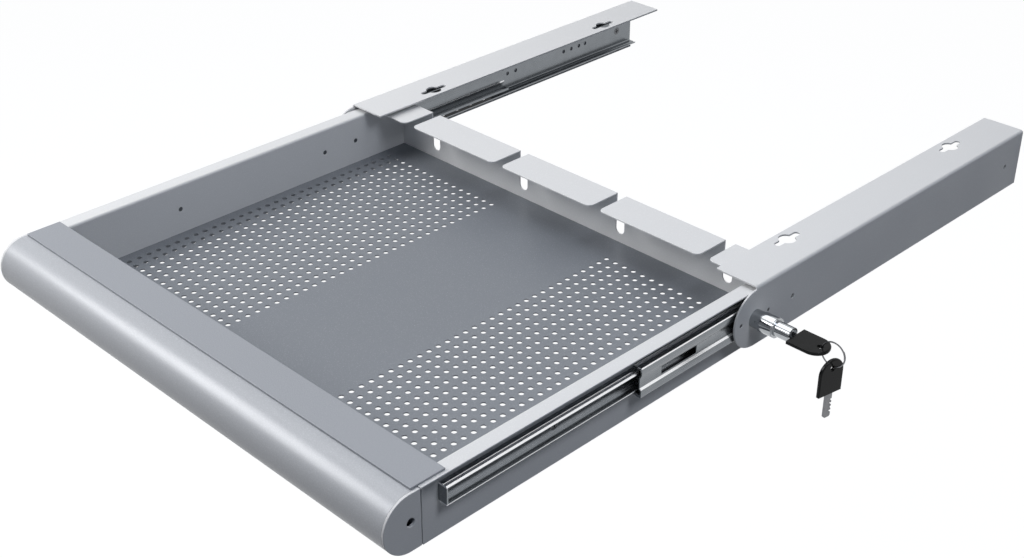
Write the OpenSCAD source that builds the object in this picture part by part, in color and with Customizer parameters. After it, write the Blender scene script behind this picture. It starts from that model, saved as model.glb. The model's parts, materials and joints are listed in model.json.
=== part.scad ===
// Under-desk laptop drawer with a push-button lock, drawn pulled out as far as its runners allow.
// +Z is up and -Y is the front. The origin is the middle of the four desk holes, on the desk's face.

/* [Brackets] */
// Distance across the outer faces of the two brackets
bracket_span = 442.4; // [380:0.1:700]
// Length of each bracket, front to back
bracket_l = 367; // [366:1:600]
// Height of each bracket
bracket_h = 49.4; // [49:0.1:60]
// Thickness of the bracket sheet
bracket_t = 1.5; // [1.2:0.1:2]
// Width of the plate that lies against the desk
top_plate_w = 37; // [36:0.5:60]
// Width of the small lip along the foot of the web
lip_w = 3.2; // [2.4:0.1:3.4]
// Radius of the sheet's bend
bend_r = 2.5; // [2.1:0.1:3]
// Corner radius of the top plate
top_corner_r = 5; // [2:0.5:8]
// Radius of the round front end of the web
lobe_r = 23.3; // [22:0.1:23.4]
// Depth of the lock's axis below the desk
axis_drop = 25.9; // [25.5:0.1:26]

/* [Desk screws] */
// Distance from the bracket's outer face to its screw line
desk_hole_inset = 27.2; // [16:0.1:28]
// Distance between the two screws of one bracket
desk_hole_pitch = 224; // [100:1:300]
// Diameter of the round middle, which a screw's head passes
head_hole_d = 13.4; // [13.2:0.1:15]
// Width of the slot that holds a screw's shank
slot_w = 5; // [4:0.1:5]
// Length of that slot, end to end
slot_l = 28; // [20:0.5:40]

/* [Tray] */
// Length inside the tray, front panel to back panel
tray_l = 358.6; // [340:0.1:360]
// Thickness of the tray's sheets
tray_t = 1.2; // [1:0.1:1.5]
// Thickness of the perforated floor
floor_t = 1; // [0.8:0.1:1.5]
// Gap between the tray's rim and a bracket
side_clear = 1.2; // [0.8:0.1:2]
// Depth of the tray's rim below the desk
rim_drop = 5.1; // [4:0.1:6]
// Depth of the floor's top below the desk
floor_drop = 48.4; // [44:0.1:52]
// Depth of the foot of the tray's sides below the desk
foot_drop = 60.6; // [56:0.1:70]
// Radius of the bend at the tray's rim
rim_bend_r = 2.2; // [1.6:0.1:2.5]

/* [Floor holes] */
// Diameter of a floor hole
perf_d = 4.2; // [2:0.1:6]
// Spacing of the floor holes across the tray
perf_pitch_x = 9.3; // [8:0.1:12]
// Spacing of the floor holes along the tray
perf_pitch_y = 8.95; // [8:0.05:10]
// Columns of holes in each of the two fields
perf_cols = 15; // [1:1:16]
// Rows of holes
perf_rows = 35; // [1:1:36]
// Distance from a side wall to the nearest column
perf_margin = 10.7; // [6:0.1:30]

/* [Back panel] */
// Width of a cable slot
cable_slot_w = 9; // [5:0.5:20]
// Spacing of the cable slots
cable_slot_pitch = 108; // [60:1:110]
// Depth of a cable slot's foot below the desk
cable_slot_drop = 39.9; // [20:0.1:42]
// Depth of the tabs that are folded over the tray
tab_depth = 31.9; // [10:0.1:60]
// Corner radius of a tab
tab_corner_r = 5; // [1:0.5:10]

/* [Front panel] */
// Width of the rim that lies under the strip plate
front_rim_w = 16; // [6:0.5:20]

/* [Nose] */
// Radius of the round nose
nose_r = 21.2; // [20.6:0.1:21.3]
// Depth of the nose's axis below the desk
nose_drop = 26.4; // [26.3:0.1:27]
// Distance from the nose's axis to its flat back
nose_back = 8.2; // [4:0.1:15]
// Wall of the nose extrusion
nose_t = 2; // [1.5:0.1:3]
// Thickness of an end plate
end_plate_t = 2; // [1.5:0.1:3]
// Width of the strip plate, front to back
strip_w = 27.7; // [20:0.1:60]
// How far the strip plate reaches in front of the nose's back
strip_front = 5.3; // [2:0.1:8]
// Thickness of the strip plate
strip_t = 1.6; // [1:0.1:2]
// Distance from an end plate's face to the strip plate's end
strip_inset = 2.6; // [1:0.1:10]
// Gap between an end plate and the rim of a side wall
nose_gap = 0.4; // [0.3:0.1:3]
// Distance from an end plate back to the front edge of a side wall, below its rim
wall_setback = 10.6; // [4:0.1:12]

/* [Runners] */
// How far the drawer pulls out
travel = 324; // [280:1:326]
// Depth of the runners' middle below the desk
runner_drop = 26.7; // [26.2:0.1:27]
// Width of a runner, wall to bracket
runner_w = 12.7; // [12.7:0.1:14]
// Length of a runner's outer member
outer_l = 350; // [340:1:366]
// Length of a runner's middle member
middle_l = 300; // [280:1:320]
// Length of a runner's inner member
inner_l = 330; // [300:1:335]
// Setback of the outer member behind the bracket's front edge
outer_setback = 15.5; // [12:0.5:17]
// Setback of the middle member behind the outer member, drawer shut
middle_setback = 28; // [5:0.5:50]
// Setback of the inner member behind the outer member, drawer shut
inner_setback = 17; // [5:0.5:20]
// Height of the outer member
outer_h = 33.6; // [33.4:0.1:34.6]
// Height of the middle member
middle_h = 24.1; // [23.9:0.1:24.3]
// Height of the inner member
inner_h = 15.1; // [14.9:0.1:15.3]
// Thickness of the runners' webs
web_t = 1.2; // [1:0.1:1.4]
// Diameter of the balls between the inner and middle members
ball_in_d = 3.2; // [3:0.1:3.3]
// Diameter of the balls between the middle and outer members
ball_out_d = 4; // [3.8:0.1:4.1]
// Length of a ball cage
cage_l = 120; // [60:1:130]
// Balls in each row of a cage
balls = 7; // [3:1:9]

/* [Lock] */
// Diameter of the lock's sleeve
sleeve_d = 15.2; // [14:0.1:17]
// Distance that the sleeve stands out of the bracket
sleeve_out = 19.8; // [18:0.1:24]
// Diameter of the push barrel
barrel_d = 11.5; // [11:0.1:12.5]
// Distance that the barrel stands out of the sleeve
barrel_out = 13; // [10:0.1:16]
// Stroke of the push barrel
lock_stroke = 8; // [5:0.1:8.4]
// Diameter of the locking bolt
bolt_d = 6; // [4:0.1:6]
// Diameter of the turning core
core_d = 9; // [8:0.1:9.4]
// Distance from the lock's axis to each of its two screws
lock_screw_r = 15.8; // [14:0.1:17]

/* [Keys] */
// Width of a key's head
head_w = 22; // [16:0.5:26]
// Length of a key's head
head_l = 28; // [24:0.5:34]
// Thickness of a key's head
head_t = 3; // [3:0.1:4]
// Length of a key's blade
blade_l = 20; // [16:0.5:20]
// Width of a key's blade
blade_w = 6; // [4:0.1:6.4]
// Thickness of a key's blade
blade_t = 2; // [1.2:0.1:2.2]
// Diameter of the hole in a key's head
eye_d = 4.5; // [4:0.1:6]
// Diameter of the ring, to the middle of its wire
ring_d = 18.8; // [18:0.1:30]
// Diameter of the ring's wire
wire_d = 1.2; // [1:0.1:1.6]
// How far the spare key is turned about its length
spare_turn = -10; // [-15:1:15]

/* [Hidden] */
$fn = 48;
run_gap = 0.05;          // radial gap of a running fit
seat_gap = 0.25;         // gap where a loose piece rests
bolt_gap = 0.1;          // radial gap of the bolt in the end plate
eps = 0.5;               // how far a cutting tool runs past a face
bracket_x = bracket_span / 2;
web_x = bracket_x - bracket_t;
wall_x = web_x - runner_w;
wall_in_x = wall_x - tray_t;
rim_x = web_x - side_clear;
front_y = -bracket_l / 2;
lock_inset = 0.5;        // from the bracket's front edge back to the lock's axis
lock_y = front_y + lock_inset;
nose_y = lock_y - travel;
nose_back_y = nose_y + nose_back;
panel_y = nose_back_y + tray_t;
back_y = panel_y + tray_l;
tray_rear_y = back_y + tray_t;
outer_y = front_y + outer_setback;
middle_y = outer_y + middle_setback - travel / 2;
inner_y = outer_y + inner_setback - travel;
// Runner sections are drawn from the wall's outer face, which is 0, to the bracket's web
runner_clear = 0.2;
outer_web_u = runner_w - web_t;
middle_u = outer_web_u - runner_clear;
recess = 1.5;            // depth of the long groove pressed into the middle member
recess_half_h = 6.2;     // half the groove's height at its mouth
recess_floor_half_h = 2.8;
recess_fold = 0.6;       // how far the groove's folds shift across the sheet
middle_web_u = middle_u - recess - web_t;
inner_gap = 0.6;         // from the inner member's lips to the middle member
inner_u = middle_web_u - inner_gap;
outer_lip_u = 3.6;
middle_lip_u = 3;
ball_u = 5.6;
outer_flange_t = 1.75;
flange_t = 2.3;
inner_flange_t = 1.2;
inner_lip_t = 1.8;       // thickness of the inner member's rolled lips
inner_lip_w = 0.9;
outer_r = 1.5;
outer_in_r = 1;
middle_r = 1;
inner_r = 1.4;
middle_in_h = middle_h - 2 * flange_t;
outer_in_h = outer_h - 2 * outer_flange_t;
row_in = (inner_h + middle_in_h) / 4;
row_out = (middle_h + outer_in_h) / 4;
cage_half_w = 2.3;
cage_in_h = 1;
cage_out_h = 1.4;
cage_in_y = (inner_y + inner_l + middle_y) / 2 - cage_l / 2;
cage_out_y = (outer_y + middle_y + middle_l) / 2 - cage_l / 2;
window_l = 37;
window_h = 6.2;
window_at = 22.3;
lock_way_l = 14;
lock_way_h = 8;
screw_d = 3.9;
screw_gap = 0.1;
screw_head_d = 7.4;
screw_head_t = 1.4;
screw_sink = 0.4;        // of a screw through the wall
tip_sink = 0.9;          // of a screw through the bracket
inner_screws = [98.5, 246.6, 280.7];
outer_screws = [29.6, 329.2];
inner_holes = [11, 25, 33, 56, 89, 143, 152];
outer_holes = [165, 173, 184, 251, 262, 273, 282];
slide_hole_d = 3.6;
return_inset = 5;        // from a side wall in to the front panel's folded end
plug_l = 4;              // depth of the end plate's rim inside the nose
plug_t = 2;
// Lock stations along its axis
sleeve_x = bracket_x + sleeve_out;
sleeve_base_l = 7;
sleeve_base_d = sleeve_d - 1.2;
sleeve_foot_d = sleeve_d - 2.2;   // where it passes the web
groove_w = 0.6;
groove_depth = 0.5;
groove_edge = 0.4;       // from the sleeve's end to its ring groove
barrel_x = sleeve_x + barrel_out;
plate_t = 1;
plate_r = 3.9;
plate_half_l = lock_screw_r + 4;
plate_half_h = 8;
notch_gap = 0.5;         // round the plate, in the outer member's web
lock_screw_d = 2.6;
lock_screw_head_d = 3.2;
lock_screw_head_t = 0.8;
lock_screw_sink = 0.6;
sleeve_floor_t = 1;
spring_shut_l = 1.3;
floor_x = bracket_x + sleeve_floor_t;
barrel_in_x = floor_x + lock_stroke + spring_shut_l;
bolt_setback = 0.2;      // how far its tip passes the web's inner face
bolt_tip_x = web_x - bolt_setback;
face_gap = 2;            // from the barrel's face to the key's head
face_recess = 1.6;       // from the barrel's rim down to the core's face
core_wall_t = 0.6;       // behind the keyway
key_gap = 0.15;          // round the blade in the keyway
blade_tip_gap = 0.4;
core_in_x = barrel_x + face_gap - blade_l - blade_tip_gap - core_wall_t;
core_bolt_gap = 0.8;
bolt_in_x = core_in_x - core_bolt_gap;
spring_d = 8.8;
spring_wire_d = 0.8;
spring_gap = 0.2;
spring_seat_depth = 1.5;
spring_seat_x = barrel_in_x + spring_seat_depth;
// Keys: the eye is a key's origin, and its blade points along +X
eye_edge = 6.9;
head_end = head_l - eye_edge;
key_x = barrel_x + face_gap + head_end;
tang_l = 9;
cuts = [1.2, 2, 0.8, 1.6];
cut_pitch = 3.2;
cut_w = 1.76;
cut_start = 5;           // from the head to the first cut
tip_r = 1.5;
ring_x = key_x + eye_d / 2 - wire_d / 2 - seat_gap + ring_d / 2;
spare_z = -axis_drop - ring_d / 2 - eye_d / 2 + wire_d / 2 + seat_gap;

// Extrudes a section drawn in X and Z from y0 back to y1
module along_y(y0, y1) {
    translate([0, y1, 0]) rotate([90, 0, 0]) linear_extrude(y1 - y0) children();
}

// Extrudes an outline drawn in Y and Z from x0 out to x1
module across_x(x0, x1) {
    translate([x0, 0, 0]) rotate([90, 0, 90]) linear_extrude(x1 - x0) children();
}

// Round bar or bore along X
module rod_x(x0, x1, d, y = lock_y, z = -axis_drop) {
    translate([x0, y, z]) rotate([0, 90, 0]) cylinder(h = x1 - x0, d = d);
}

// The same on a runner's middle line
module runner_rod(x0, x1, d, y) {
    rod_x(x0, x1, d, y, -runner_drop);
}

// Rectangle with round corners, between two opposite corners
module round_rect(a, b, r) {
    translate([a.x + r, a.y]) square([b.x - a.x - 2 * r, b.y - a.y]);
    translate([a.x, a.y + r]) square([b.x - a.x, b.y - a.y - 2 * r]);
    for (x = [a.x + r, b.x - r], y = [a.y + r, b.y - r]) translate([x, y]) circle(r);
}

// What a round corner of radius r takes off a square one; sx and sy point into the sheet
module corner_cut(x, y, sx, sy, r) {
    difference() {
        translate([x, y]) mirror([sx < 0 ? 1 : 0, 0]) mirror([0, sy < 0 ? 1 : 0])
            translate([-eps, -eps]) square(r + eps);
        translate([x + sx * r, y + sy * r]) circle(r);
    }
}

module keyhole() {
    circle(d = head_hole_d);
    square([slot_w, slot_l - slot_w], center = true);
    for (y = [-1, 1] * (slot_l - slot_w) / 2) translate([0, y]) circle(d = slot_w);
}

// One bracket, drawn on the right
module bracket(with_lock) {
    color("lightsteelblue") difference() {
        union() {
            along_y(front_y, -front_y) difference() {
                union() {
                    translate([bracket_x - top_plate_w, -bracket_t]) square([top_plate_w, bracket_t]);
                    translate([web_x, -bracket_h]) square([bracket_t, bracket_h]);
                    translate([bracket_x - lip_w, -bracket_h]) square([lip_w, bracket_t]);
                }
                corner_cut(bracket_x, 0, -1, -1, bend_r);
            }
            across_x(web_x, bracket_x) intersection() {
                translate([lock_y, -axis_drop]) circle(lobe_r);
                translate([lock_y - lobe_r - eps, -bracket_h]) square([lobe_r + 2 * eps, bracket_h]);
            }
        }
        translate([0, 0, -bracket_t - eps]) linear_extrude(bracket_t + 2 * eps) {
            for (y = [-1, 1]) {
                corner_cut(bracket_x - top_plate_w, y * front_y, 1, -y, top_corner_r);
                translate([bracket_x - desk_hole_inset, y * desk_hole_pitch / 2]) keyhole();
            }
        }
        for (s = outer_screws)
            runner_rod(web_x - eps, bracket_x + eps, screw_d + 2 * screw_gap, outer_y + s);
        if (with_lock) {
            rod_x(web_x - eps, bracket_x + eps, sleeve_foot_d);
            for (s = [-1, 1])
                rod_x(web_x - eps, bracket_x + eps, lock_screw_head_d, lock_y + s * lock_screw_r);
        }
    }
}

// Runner sections: the right-hand runner's, from its wall out to the bracket's web
module outer_section() {
    difference() {
        round_rect([outer_lip_u, -outer_h / 2], [runner_w, outer_h / 2], outer_r);
        round_rect([-eps, -outer_in_h / 2], [outer_web_u, outer_in_h / 2], outer_in_r);
        for (s = [-1, 1]) translate([ball_u, s * row_out]) circle(d = ball_out_d + 2 * run_gap);
    }
}

module middle_section() {
    half = [
        [middle_u - recess, recess_floor_half_h], [middle_u, recess_half_h], [middle_u, middle_h / 2],
        [middle_lip_u, middle_h / 2], [middle_lip_u, middle_in_h / 2], [middle_u - web_t, middle_in_h / 2],
        [middle_u - web_t, recess_half_h + recess_fold], [middle_web_u, recess_floor_half_h + recess_fold]
    ];
    difference() {
        polygon(concat(half, [for (i = [len(half) - 1 : -1 : 0]) [half[i].x, -half[i].y]]));
        for (s = [-1, 1]) {
            corner_cut(middle_u, s * middle_h / 2, -1, -s, middle_r);
            translate([ball_u, s * row_in]) circle(d = ball_in_d + 2 * run_gap);
            translate([ball_u, s * row_out]) circle(d = ball_out_d + 2 * run_gap);
        }
    }
}

module inner_outline() {
    round_rect([0, -inner_h / 2], [inner_u, inner_h / 2], inner_r);
}

module inner_grooves() {
    for (s = [-1, 1]) translate([ball_u, s * row_in]) circle(d = ball_in_d + 2 * run_gap);
}

// A channel with a rolled lip on each flange, and the ridge that a ball groove raises inside it
module inner_section() {
    difference() {
        inner_outline();
        translate([web_t, inner_flange_t - inner_h / 2]) square([inner_u, inner_h - 2 * inner_flange_t]);
        inner_grooves();
    }
    difference() {
        intersection() {
            inner_outline();
            for (s = [-1, 1]) {
                translate([ball_u, s * row_in]) circle(d = ball_in_d + 2 * web_t);
                translate([inner_u - inner_lip_w, s * (inner_h - inner_lip_t) / 2 - inner_lip_t / 2])
                    square(inner_lip_t);
            }
        }
        inner_grooves();
    }
}

module runner_outer(lock_notch) {
    color("gainsboro") difference() {
        translate([wall_x, 0, -runner_drop]) along_y(outer_y, outer_y + outer_l) outer_section();
        for (s = outer_holes) runner_rod(wall_x, web_x + eps, slide_hole_d, outer_y + s);
        for (s = outer_screws) {
            runner_rod(wall_x, web_x + eps, screw_d, outer_y + s);
            translate([wall_x + outer_web_u, outer_y + s, -runner_drop]) rotate([0, 90, 0])
                cylinder(h = web_t, d1 = screw_head_d, d2 = screw_d);
        }
        if (lock_notch) across_x(wall_x + middle_u, web_x + eps) translate([lock_y, -axis_drop])
            square(2 * [plate_half_l + notch_gap, plate_half_h + notch_gap], center = true);
    }
}

module runner_middle(lock_way) {
    color("gainsboro") difference() {
        translate([wall_x, 0, -runner_drop]) along_y(middle_y, middle_y + middle_l) middle_section();
        translate([wall_x + middle_web_u - eps, middle_y + window_at, -runner_drop - window_h / 2])
            cube([middle_u, window_l, window_h]);
        if (lock_way) across_x(wall_x + middle_web_u - eps, web_x)
            translate([lock_y, -axis_drop]) square([lock_way_l, lock_way_h], center = true);
    }
}

module runner_inner() {
    color("gainsboro") difference() {
        translate([wall_x, 0, -runner_drop]) {
            along_y(inner_y, inner_y + inner_l) inner_section();
            along_y(inner_y, inner_y + web_t) difference() {
                inner_outline();
                inner_grooves();
            }
        }
        for (s = inner_holes) runner_rod(wall_x - eps, wall_x + web_t + eps, slide_hole_d, inner_y + s);
        for (s = inner_screws) runner_rod(wall_x - eps, wall_x + web_t + eps, screw_d, inner_y + s);
    }
}

// One runner's ball cage: a strip above and one below, with a pocket for each ball
module cage(y0, row, strip_h, ball_d) {
    color("darkslategray") for (s = [-1, 1]) difference() {
        translate([wall_x + ball_u - cage_half_w, y0, -runner_drop + s * row - strip_h / 2])
            cube([2 * cage_half_w, cage_l, strip_h]);
        for (i = [0 : balls - 1])
            translate([wall_x + ball_u, ball_y(y0, i), -runner_drop + s * row - strip_h])
                cylinder(h = 2 * strip_h, d = ball_d + 2 * run_gap);
    }
}

function ball_y(y0, i) = y0 + cage_l * (i + 0.5) / balls;

module ball_rows(y0, row, ball_d) {
    color("white") for (s = [-1, 1], i = [0 : balls - 1])
        translate([wall_x + ball_u, ball_y(y0, i), -runner_drop + s * row]) sphere(d = ball_d);
}

module cage_outer() {
    cage(cage_out_y, row_out, cage_out_h, ball_out_d);
}

module cage_inner() {
    cage(cage_in_y, row_in, cage_in_h, ball_in_d);
}

module balls_outer() {
    ball_rows(cage_out_y, row_out, ball_out_d);
}

module balls_inner() {
    ball_rows(cage_in_y, row_in, ball_in_d);
}

// Countersunk screws from the outer member into the bracket
module bracket_screws() {
    color("dimgray") for (m = [0, 1], s = outer_screws) mirror([m, 0, 0]) {
        runner_rod(wall_x + outer_web_u, bracket_x - tip_sink, screw_d, outer_y + s);
        translate([wall_x + outer_web_u, outer_y + s, -runner_drop]) rotate([0, 90, 0])
            cylinder(h = web_t, d1 = screw_head_d, d2 = screw_d);
    }
}

// Pan-head screws from the inner member into the side wall
module wall_screws() {
    color("dimgray") for (m = [0, 1], s = inner_screws) mirror([m, 0, 0]) {
        runner_rod(wall_in_x + screw_sink, wall_x + web_t + screw_head_t, screw_d, inner_y + s);
        runner_rod(wall_x + web_t, wall_x + web_t + screw_head_t, screw_head_d, inner_y + s);
    }
}

module floor_holes() {
    middle = (nose_back_y + back_y) / 2;
    for (m = [-1, 1], i = [0 : perf_cols - 1], j = [0 : perf_rows - 1])
        translate([
            m * (wall_in_x - perf_margin - i * perf_pitch_x),
            middle + (j - (perf_rows - 1) / 2) * perf_pitch_y
        ]) circle(d = perf_d);
}

module floor_panel() {
    color("slategray") {
        translate([0, 0, -floor_drop - floor_t]) linear_extrude(floor_t) difference() {
            translate([-wall_in_x, panel_y]) square([2 * wall_in_x, back_y - panel_y]);
            floor_holes();
        }
        for (m = [0, 1]) mirror([m, 0, 0]) translate([wall_in_x - floor_t, panel_y, -foot_drop])
            cube([floor_t, back_y - panel_y, foot_drop - floor_drop - floor_t / 2]);
    }
}

// A side wall and its outward rim, one folded sheet
module side_wall() {
    color("lightslategray") difference() {
        along_y(nose_back_y + nose_gap, tray_rear_y) difference() {
            union() {
                translate([wall_in_x, -foot_drop]) square([tray_t, foot_drop - rim_drop]);
                translate([wall_in_x, -rim_drop - tray_t]) square([rim_x - wall_in_x, tray_t]);
            }
            corner_cut(wall_in_x, -rim_drop, 1, -1, rim_bend_r);
        }
        translate([wall_in_x - eps, nose_back_y, -foot_drop - eps])
            cube([tray_t + 2 * eps, wall_setback, foot_drop - rim_drop - tray_t + eps]);
        for (s = inner_screws) runner_rod(wall_in_x - eps, wall_x + eps, screw_d, inner_y + s);
    }
}

module back_panel() {
    slots = [-1.5, -0.5, 0.5, 1.5] * cable_slot_pitch;
    color("slategray") {
        along_y(back_y, tray_rear_y) difference() {
            translate([-wall_in_x, -foot_drop]) square([2 * wall_in_x, foot_drop - rim_drop]);
            for (x = slots) {
                translate([x, cable_slot_w / 2 - cable_slot_drop]) circle(d = cable_slot_w);
                translate([x - cable_slot_w / 2, cable_slot_w / 2 - cable_slot_drop])
                    square([cable_slot_w, cable_slot_drop]);
            }
        }
        translate([0, 0, -rim_drop - tray_t]) linear_extrude(tray_t) difference() {
            translate([-wall_in_x, back_y - tab_depth]) square([2 * wall_in_x, tab_depth + tray_t]);
            for (x = slots) {
                translate([x - cable_slot_w / 2, back_y - tab_depth - eps])
                    square([cable_slot_w, tab_depth + tray_t + 2 * eps]);
                for (s = [-1, 1])
                    corner_cut(x + s * cable_slot_w / 2, back_y - tab_depth, s, 1, tab_corner_r);
            }
        }
    }
}

// The tray's front sheet, which the nose is screwed to, with a rim under the strip plate and an end
// folded back at each side
module front_panel() {
    color("slategray") difference() {
        union() {
            translate([-wall_in_x, nose_back_y, -floor_drop - floor_t])
                cube([2 * wall_in_x, tray_t, floor_drop + floor_t - rim_drop]);
            translate([-wall_in_x, nose_back_y, -rim_drop - tray_t])
                cube([2 * wall_in_x, front_rim_w, tray_t]);
            for (x = [return_inset - wall_in_x, wall_in_x - return_inset - tray_t])
                translate([x, nose_back_y, -floor_drop])
                    cube([tray_t, front_rim_w, floor_drop - rim_drop - tray_t / 2]);
        }
        nose_screw_places() cylinder(h = 4 * tray_t, d = screw_d, center = true);
    }
}

module nose_screw_places() {
    for (x = [-1.5, -0.5, 0.5, 1.5] * cable_slot_pitch)
        translate([x, nose_back_y, -nose_drop]) rotate([90, 0, 0]) children();
}

module nose_screws() {
    color("dimgray") nose_screw_places() {
        translate([0, 0, -tray_t - screw_head_t]) cylinder(h = screw_head_t + tray_t + nose_t, d = screw_d);
        translate([0, 0, -tray_t - screw_head_t]) cylinder(h = screw_head_t, d = screw_head_d);
    }
}

// The nose's section, drawn in Y and Z, smaller all round by inset
module nose_outline(inset) {
    translate([nose_y, -nose_drop]) {
        circle(nose_r - inset);
        translate([0, inset - nose_r]) square([nose_back - inset, 2 * (nose_r - inset)]);
    }
}

module nose_section(inset) {
    intersection() {
        nose_outline(inset);
        translate([nose_y - 2 * nose_r, -nose_drop - 2 * nose_r])
            square([2 * nose_r + nose_back - inset, 4 * nose_r]);
    }
}

module nose_extrusion() {
    x = rim_x - end_plate_t;
    color("silver") difference() {
        across_x(-x, x) difference() {
            nose_section(0);
            nose_section(nose_t);
        }
        nose_screw_places() cylinder(h = 4 * nose_t, d = screw_d, center = true);
    }
}

// An end plate with a rim that plugs into the nose
module end_plate(with_hole) {
    color("slategray") difference() {
        union() {
            across_x(rim_x - end_plate_t, rim_x) nose_section(0);
            across_x(rim_x - end_plate_t - plug_l, rim_x - end_plate_t / 2) difference() {
                nose_section(nose_t + run_gap);
                nose_section(nose_t + run_gap + plug_t);
            }
        }
        if (with_hole) rod_x(rim_x - end_plate_t - eps, rim_x + eps, bolt_d + 2 * bolt_gap, nose_y);
    }
}

module strip_plate() {
    color("darkgray") translate([strip_inset - rim_x, nose_back_y - strip_front, -rim_drop])
        cube([2 * (rim_x - strip_inset), strip_w, strip_t]);
}

// The plate inside the bracket that the lock is screwed to
module lock_plate() {
    color("silver") difference() {
        across_x(web_x - plate_t, web_x) translate([lock_y, -axis_drop])
            round_rect([-plate_half_l, -plate_half_h], [plate_half_l, plate_half_h], plate_r);
        rod_x(web_x - plate_t - eps, web_x + eps, sleeve_foot_d);
        for (s = [-1, 1])
            rod_x(web_x - plate_t - eps, web_x + eps, lock_screw_d, lock_y + s * lock_screw_r);
    }
}

module lock_screws() {
    color("gray") for (s = [-1, 1]) {
        y = lock_y + s * lock_screw_r;
        head_x = bracket_x - lock_screw_sink;
        rod_x(web_x - plate_t, head_x, lock_screw_d, y);
        rod_x(head_x - lock_screw_head_t, head_x, lock_screw_head_d, y);
    }
}

module lock_sleeve() {
    color("gainsboro") difference() {
        union() {
            rod_x(web_x - plate_t, sleeve_x, sleeve_foot_d);
            rod_x(bracket_x, sleeve_x, sleeve_base_d);
            rod_x(bracket_x + sleeve_base_l, sleeve_x, sleeve_d);
        }
        rod_x(floor_x, sleeve_x + eps, barrel_d + 2 * run_gap);
        rod_x(web_x - plate_t - eps, floor_x + eps, bolt_d + 2 * run_gap);
        difference() {
            rod_x(sleeve_x - groove_edge - groove_w, sleeve_x - groove_edge, sleeve_d + 1);
            rod_x(sleeve_x - groove_edge - groove_w - eps, sleeve_x, sleeve_d - 2 * groove_depth);
        }
    }
}

module lock_spring() {
    color("white") difference() {
        rod_x(floor_x, spring_seat_x - lock_stroke, spring_d);
        rod_x(floor_x - eps, sleeve_x, spring_d - 2 * spring_wire_d);
    }
}

module lock_barrel() {
    color("gainsboro") difference() {
        rod_x(barrel_in_x, barrel_x, barrel_d);
        rod_x(core_in_x, barrel_x + eps, core_d + 2 * run_gap);
        rod_x(barrel_in_x - eps, bolt_in_x, bolt_d);
        rod_x(barrel_in_x - eps, spring_seat_x, spring_d + 2 * spring_gap);
    }
}

module lock_bolt() {
    color("silver") rod_x(bolt_tip_x, bolt_in_x, bolt_d);
}

module lock_core() {
    color("darkgray") difference() {
        rod_x(core_in_x, barrel_x - face_recess, core_d);
        translate([core_in_x + core_wall_t, lock_y, -axis_drop])
            translate([0, -blade_w / 2 - key_gap, -blade_t / 2 - key_gap])
                cube([blade_l, blade_w + 2 * key_gap, blade_t + 2 * key_gap]);
    }
}

// A key's steel blade with its cuts, from the tang in the head to the tip
module blade() {
    color("silver") translate([0, 0, -blade_t / 2]) linear_extrude(blade_t) difference() {
        translate([head_end - tang_l, -blade_w / 2]) square([tang_l + blade_l, blade_w]);
        for (i = [0 : len(cuts) - 1]) {
            x = head_end + cut_start + i * cut_pitch;
            translate([x, blade_w / 2 - cuts[i]]) square([cut_w, blade_w]);
        }
        for (s = [-1, 1]) corner_cut(head_end + blade_l, s * blade_w / 2, -1, -s, tip_r);
    }
}

module head() {
    color("#18191b") difference() {
        translate([0, 0, -head_t / 2]) linear_extrude(head_t) difference() {
            union() {
                translate([head_w / 2 - eye_edge, 0]) circle(d = head_w);
                translate([head_w / 2 - eye_edge, -head_w / 2])
                    square([head_end - head_w / 2 + eye_edge, head_w]);
            }
            circle(d = eye_d);
        }
        translate([head_end - tang_l, -blade_w / 2, -blade_t / 2]) cube([tang_l + eps, blade_w, blade_t]);
    }
}

module at_lock() {
    translate([key_x, lock_y, -axis_drop]) rotate([0, 0, 180]) children();
}

module at_ring() {
    translate([ring_x, lock_y, spare_z]) rotate([0, 0, spare_turn]) rotate([0, 90, 0]) children();
}

module key_ring() {
    color("silver") translate([ring_x, lock_y, -axis_drop]) rotate([90, 0, 0]) rotate_extrude()
        translate([ring_d / 2, 0]) circle(d = wire_d);
}

mirror([1, 0, 0]) bracket(false);  // bracket_left
bracket(true);  // bracket_right
mirror([1, 0, 0]) runner_outer(false);  // runner_outer_left
runner_outer(true);  // runner_outer_right
bracket_screws();
mirror([1, 0, 0]) runner_middle(false);  // runner_middle_left
runner_middle(true);  // runner_middle_right
mirror([1, 0, 0]) runner_inner();  // runner_inner_left
runner_inner();  // runner_inner_right
wall_screws();
mirror([1, 0, 0]) cage_outer();  // cage_outer_left
cage_outer();  // cage_outer_right
mirror([1, 0, 0]) balls_outer();  // balls_outer_left
balls_outer();  // balls_outer_right
mirror([1, 0, 0]) cage_inner();  // cage_inner_left
cage_inner();  // cage_inner_right
mirror([1, 0, 0]) balls_inner();  // balls_inner_left
balls_inner();  // balls_inner_right
floor_panel();
mirror([1, 0, 0]) side_wall();  // side_wall_left
side_wall();  // side_wall_right
back_panel();
front_panel();
nose_extrusion();
mirror([1, 0, 0]) end_plate(false);  // end_plate_left
end_plate(true);  // end_plate_right
strip_plate();
nose_screws();
lock_plate();
lock_screws();
lock_sleeve();
lock_spring();
lock_barrel();
lock_bolt();
lock_core();
at_lock() blade();  // key_blade
at_lock() head();  // key_head
key_ring();
at_ring() blade();  // spare_key_blade
at_ring() head();  // spare_key_head
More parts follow.
